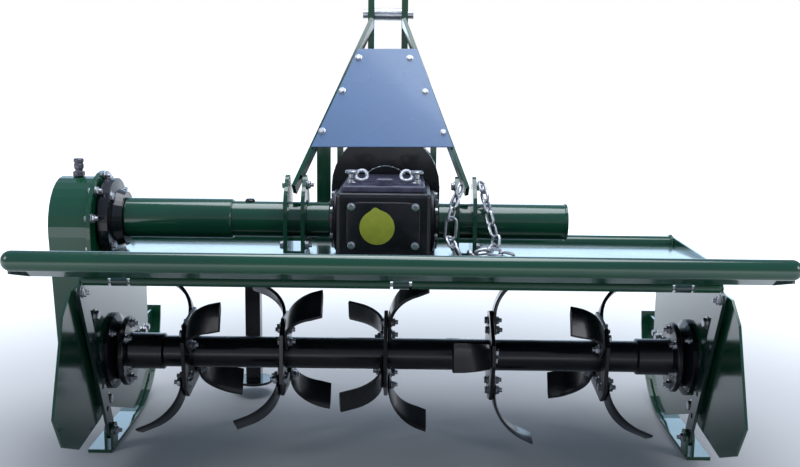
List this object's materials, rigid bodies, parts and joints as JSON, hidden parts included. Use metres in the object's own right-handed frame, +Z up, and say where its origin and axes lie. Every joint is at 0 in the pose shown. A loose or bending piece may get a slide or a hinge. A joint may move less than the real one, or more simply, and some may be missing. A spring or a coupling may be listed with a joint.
{
  "type": "rotary tiller",
  "caption": "Rotary tiller for a tractor's three-point hitch, with a tined rotor under a hood, a chain case, a lifting tailboard, side skids and a parking stand.",
  "frame": {"origin": "under the middle of the machine's box, on the floor", "axes": "+X to the right seen from behind, +Y forwards to the tractor, +Z up"},
  "size_m": [1.3286, 0.9785, 0.932],
  "materials": {
    "green_paint": "gloss",
    "dark_green_paint": "gloss",
    "black_paint": "satin",
    "blue_grey_paint": "gloss",
    "zinc_plate": "satin"
  },
  "bodies": {
    "frame": {"front_tube": "green_paint", "side_plate_left": "green_paint", "side_plate_right": "green_paint", "side_fin_left": "green_paint", "side_fin_right": "green_paint", "skid_left": "green_paint", "skid_right": "green_paint", "skid_lug_left": "green_paint", "skid_lug_right": "green_paint", "chain_case": "green_paint", "chain_case_back": "green_paint", "drive_sleeve": "green_paint", "drive_tube": "green_paint", "support_tube": "green_paint", "tube_clamp_left": "green_paint", "tube_clamp_right": "green_paint", "mast_left": "green_paint", "mast_right": "green_paint", "brace_left": "green_paint", "brace_right": "green_paint", "hitch_beam": "green_paint", "hitch_plate_left": "green_paint", "hitch_plate_right": "green_paint", "stand_holder": "green_paint", "shaft_rest": "green_paint", "hood": "dark_green_paint", "rear_angle": "dark_green_paint", "skid_strut_left": "dark_green_paint", "skid_strut_right": "dark_green_paint", "breather": "black_paint", "drive_hub": "black_paint", "gearbox": "black_paint", "gearbox_lid": "black_paint", "pto_guard": "black_paint", "rotor_bearing_left": "black_paint", "rotor_bearing_right": "black_paint", "mast_guard": "blue_grey_paint", "hinge_pin": "zinc_plate", "top_pin": "zinc_plate", "top_spacer": "zinc_plate", "hitch_pin_left": "zinc_plate", "hitch_pin_right": "zinc_plate", "tailboard_chain": "zinc_plate"},
    "rotor": {"rotor_tube": "black_paint", "tine_set_1": "black_paint", "tine_set_2": "black_paint", "tine_set_3": "black_paint", "tine_set_4": "black_paint", "tine_set_5": "black_paint"},
    "pto": {"pto_shaft": "zinc_plate"},
    "tailboard": {"tailboard": "green_paint", "tailboard_tube": "green_paint", "tailboard_gusset_left": "dark_green_paint", "tailboard_gusset_right": "dark_green_paint", "chain_lug": "zinc_plate"},
    "stand": {"parking_stand": "black_paint"}
  },
  "joints": [
    {"name": "rotor_spin", "type": "hinge", "parent": "frame", "child": "rotor", "pos_m": [0.0273, 0.1154, 0.195], "axis": [-1, 0, 0], "continuous": true},
    {"name": "pto_spin", "type": "hinge", "parent": "frame", "child": "pto", "pos_m": [-0.0087, 0.3484, 0.52], "axis": [0, 1, 0], "continuous": true},
    {"name": "tailboard_hinge", "type": "hinge", "parent": "frame", "child": "tailboard", "pos_m": [0.0273, -0.1006, 0.392], "axis": [1, 0, 0], "range_deg": [0, 78]},
    {"name": "stand_slide", "type": "slide", "parent": "frame", "child": "stand", "axis": [0, 0, 1], "range_m": [0, 0.2]}
  ],
  "couplings": [
    {"joint": "pto_spin", "follows": "rotor_spin", "ratio": 2.7}
  ]
}
